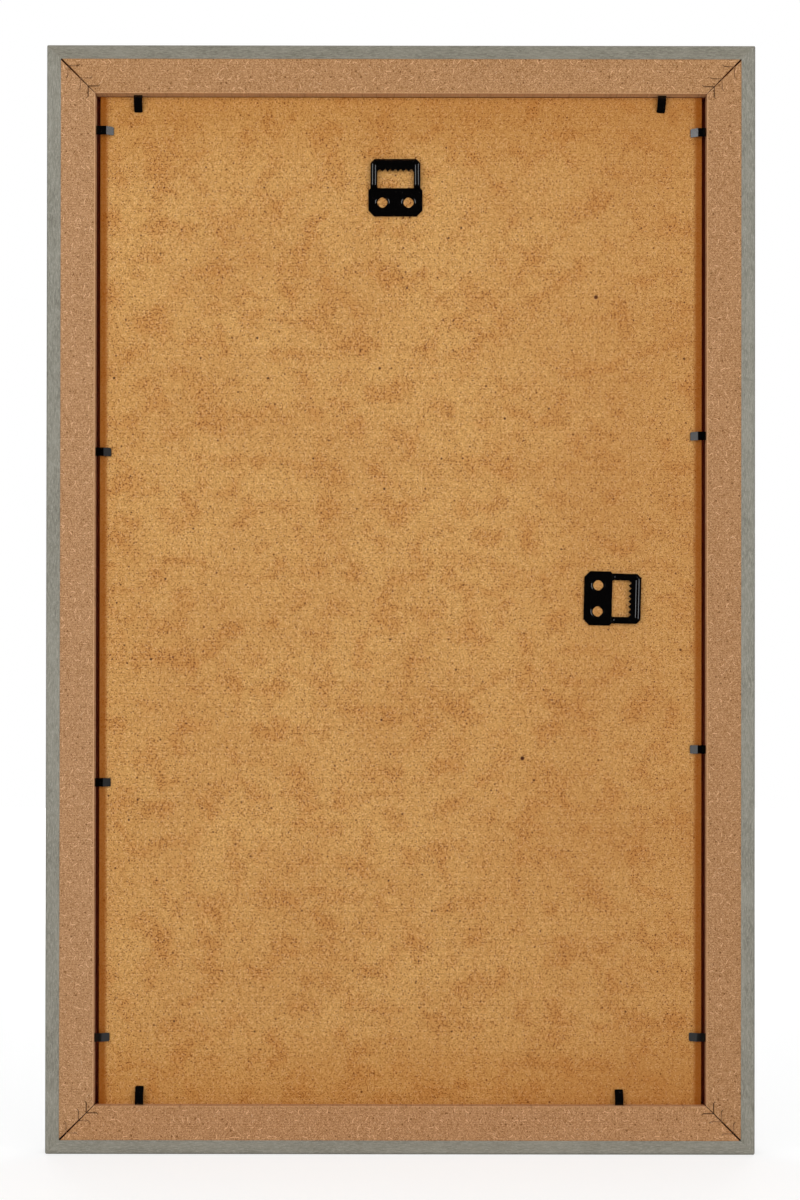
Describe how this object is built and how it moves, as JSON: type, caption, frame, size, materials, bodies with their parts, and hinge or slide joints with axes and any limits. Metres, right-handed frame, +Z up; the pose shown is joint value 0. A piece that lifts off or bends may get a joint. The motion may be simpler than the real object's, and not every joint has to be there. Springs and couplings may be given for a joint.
{
  "type": "picture frame",
  "caption": "Back-loading rectangular picture frame: mitred foil-wrapped fibreboard rails hold glass, insert and hardboard behind bendable tabs; sawtooth hangers for either way up.",
  "frame": {"origin": "under the middle of the bottom edge, half way through the depth", "axes": "+Z up; +Y from the back (wall side) to the front (glass side); +X to the right seen from behind"},
  "size_m": [0.351, 0.016, 0.5492],
  "materials": {
    "fibreboard": "raw, matt",
    "grey_foil": "satin, fine grain",
    "hardboard": "smooth pressed, matt",
    "glass": "clear",
    "paper": "plain, matt",
    "black_steel": "black coat",
    "bright_steel": "plain"
  },
  "bodies": {
    "frame": {"v_nails": "bright_steel", "left_rail": "fibreboard", "left_foil": "grey_foil", "left_tab_shanks": "black_steel", "right_rail": "fibreboard", "right_foil": "grey_foil", "right_tab_shanks": "black_steel", "top_rail": "fibreboard", "top_foil": "grey_foil", "top_tab_shanks": "black_steel", "bottom_rail": "fibreboard", "bottom_foil": "grey_foil", "bottom_tab_shanks": "black_steel", "top_hanger": "black_steel", "side_hanger": "black_steel", "glass_pane": "glass", "paper_insert": "paper", "backboard": "hardboard"},
    "left_tab_1": {"left_tab_1": "black_steel"},
    "left_tab_2": {"left_tab_2": "black_steel"},
    "left_tab_3": {"left_tab_3": "black_steel"},
    "left_tab_4": {"left_tab_4": "black_steel"},
    "right_tab_1": {"right_tab_1": "black_steel"},
    "right_tab_2": {"right_tab_2": "black_steel"},
    "right_tab_3": {"right_tab_3": "black_steel"},
    "right_tab_4": {"right_tab_4": "black_steel"},
    "top_tab_1": {"top_tab_1": "black_steel"},
    "top_tab_2": {"top_tab_2": "black_steel"},
    "bottom_tab_1": {"bottom_tab_1": "black_steel"},
    "bottom_tab_2": {"bottom_tab_2": "black_steel"}
  },
  "joints": [
    {"name": "left_tab_1_bend", "type": "hinge", "parent": "frame", "child": "left_tab_1", "pos_m": [-0.15107, -0.0043, 0.50785], "axis": [0, 0, -1], "range_deg": [0, 85]},
    {"name": "left_tab_2_bend", "type": "hinge", "parent": "frame", "child": "left_tab_2", "pos_m": [-0.15107, -0.0043, 0.348], "axis": [0, 0, -1], "range_deg": [0, 85]},
    {"name": "left_tab_3_bend", "type": "hinge", "parent": "frame", "child": "left_tab_3", "pos_m": [-0.15107, -0.0043, 0.1838], "axis": [0, 0, -1], "range_deg": [0, 85]},
    {"name": "left_tab_4_bend", "type": "hinge", "parent": "frame", "child": "left_tab_4", "pos_m": [-0.15107, -0.0043, 0.05725], "axis": [0, 0, -1], "range_deg": [0, 85]},
    {"name": "right_tab_1_bend", "type": "hinge", "parent": "frame", "child": "right_tab_1", "pos_m": [0.15107, -0.0043, 0.50715], "axis": [0, 0, 1], "range_deg": [0, 85]},
    {"name": "right_tab_2_bend", "type": "hinge", "parent": "frame", "child": "right_tab_2", "pos_m": [0.15107, -0.0043, 0.3562], "axis": [0, 0, 1], "range_deg": [0, 85]},
    {"name": "right_tab_3_bend", "type": "hinge", "parent": "frame", "child": "right_tab_3", "pos_m": [0.15107, -0.0043, 0.2005], "axis": [0, 0, 1], "range_deg": [0, 85]},
    {"name": "right_tab_4_bend", "type": "hinge", "parent": "frame", "child": "right_tab_4", "pos_m": [0.15107, -0.0043, 0.05765], "axis": [0, 0, 1], "range_deg": [0, 85]},
    {"name": "top_tab_1_bend", "type": "hinge", "parent": "frame", "child": "top_tab_1", "pos_m": [-0.13078, -0.0043, 0.52475], "axis": [-1, 0, 0], "range_deg": [0, 85]},
    {"name": "top_tab_2_bend", "type": "hinge", "parent": "frame", "child": "top_tab_2", "pos_m": [0.12968, -0.0043, 0.52475], "axis": [-0.9976, 0, 0.0698], "range_deg": [0, 85]},
    {"name": "bottom_tab_1_bend", "type": "hinge", "parent": "frame", "child": "bottom_tab_1", "pos_m": [-0.12937, -0.0043, 0.02445], "axis": [1, 0, 0], "range_deg": [0, 85]},
    {"name": "bottom_tab_2_bend", "type": "hinge", "parent": "frame", "child": "bottom_tab_2", "pos_m": [0.10877, -0.0043, 0.02445], "axis": [1, 0, 0], "range_deg": [0, 85]}
  ]
}
